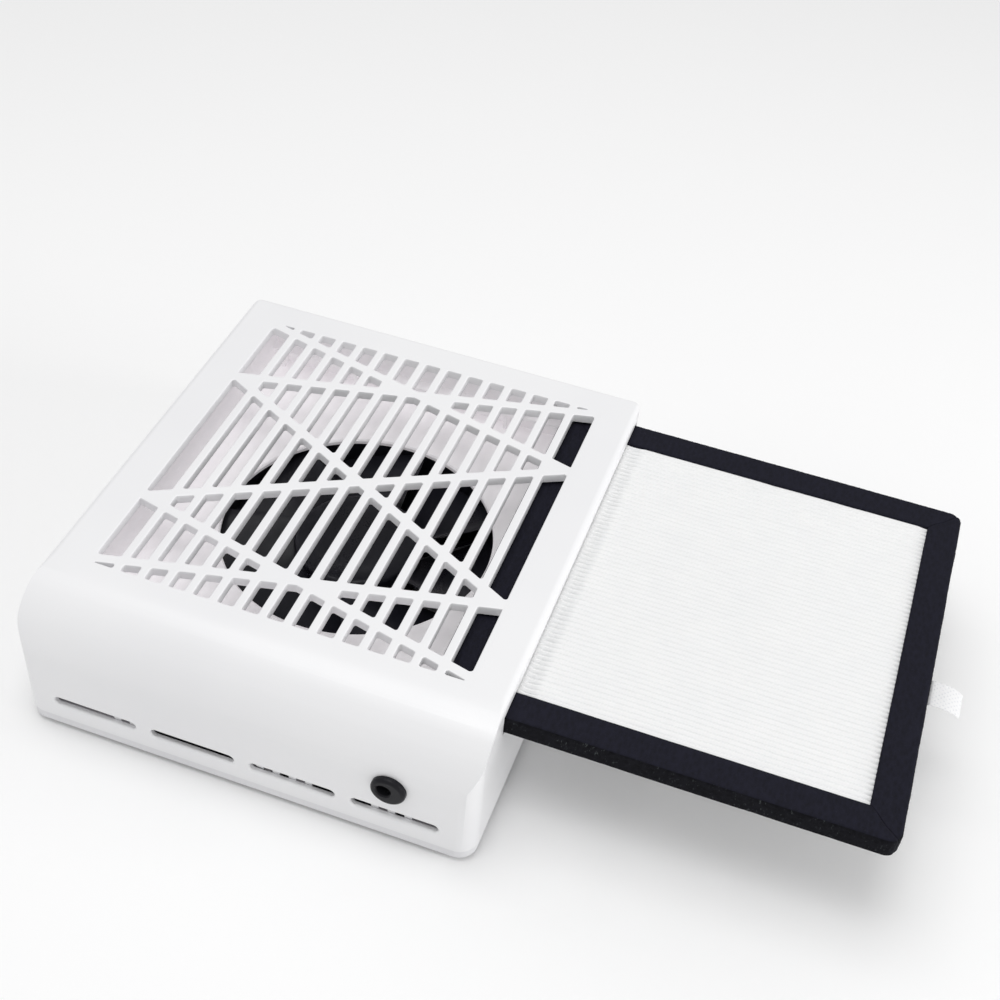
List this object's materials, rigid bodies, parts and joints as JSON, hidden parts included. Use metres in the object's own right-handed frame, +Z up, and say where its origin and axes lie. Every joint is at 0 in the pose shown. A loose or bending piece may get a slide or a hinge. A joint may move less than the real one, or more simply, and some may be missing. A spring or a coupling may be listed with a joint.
{
  "type": "nail dust collector",
  "caption": "Low boxy table-top dust collector with a slatted top grille, a suction fan below it and a flat framed filter that slides out of one side.",
  "frame": {"origin": "centre of the housing's footprint on the plane under the four feet", "axes": "+Z up; -Y the front with the exhaust slots and the power socket; +X the side the filter slides out of"},
  "size_m": [0.3745, 0.2327, 0.07],
  "materials": {
    "cover_plastic": "satin white moulded plastic",
    "tray_plastic": "white moulded plastic",
    "deck_plastic": "white moulded plastic",
    "black_plastic": "black moulded plastic",
    "socket_plastic": "smooth black plastic",
    "rubber": "dark rubber",
    "steel": "plated steel",
    "bearing_steel": "polished steel",
    "magnet": "bonded ferrite",
    "lamination": "stacked iron sheet",
    "copper": "enamelled copper wire",
    "board": "green circuit board",
    "tin": "tinned brass",
    "wire_red": "soft insulation",
    "wire_black": "soft insulation",
    "filter_frame": "black felted board",
    "filter_paper": "white pleated fibre paper",
    "tab_cloth": "thin white non-woven cloth"
  },
  "bodies": {
    "housing": {"top_cover": "cover_plastic", "grille": "cover_plastic", "base_tray": "tray_plastic", "rubber_feet": "rubber", "base_screws": "steel", "fan_deck": "deck_plastic", "deck_screws": "steel", "filter_stop_wall": "deck_plastic", "filter_rail_front": "deck_plastic", "filter_rail_back": "deck_plastic", "fan_frame": "black_plastic", "fan_screws": "steel", "upper_bearing": "bearing_steel", "lower_bearing": "bearing_steel", "stator_core": "lamination", "stator_windings": "copper", "motor_board": "board", "socket_body": "socket_plastic", "socket_pin": "tin", "socket_tabs": "tin", "socket_nut": "steel", "wire_positive": "wire_red", "wire_negative": "wire_black"},
    "rotor": {"fan_rotor": "black_plastic", "rotor_yoke": "steel", "rotor_magnet": "magnet", "rotor_shaft": "bearing_steel"},
    "filter": {"filter_bar_front": "filter_frame", "filter_bar_back": "filter_frame", "filter_bar_left": "filter_frame", "filter_bar_right": "filter_frame", "filter_media": "filter_paper", "pull_tab": "tab_cloth"}
  },
  "joints": [
    {"name": "fan_spin", "type": "hinge", "parent": "housing", "child": "rotor", "pos_m": [0, 0.006, 0.03], "axis": [0, 0, 1], "continuous": true},
    {"name": "filter_slide", "type": "slide", "parent": "housing", "child": "filter", "axis": [1, 0, 0], "range_m": [-0.154, 0.036]}
  ]
}
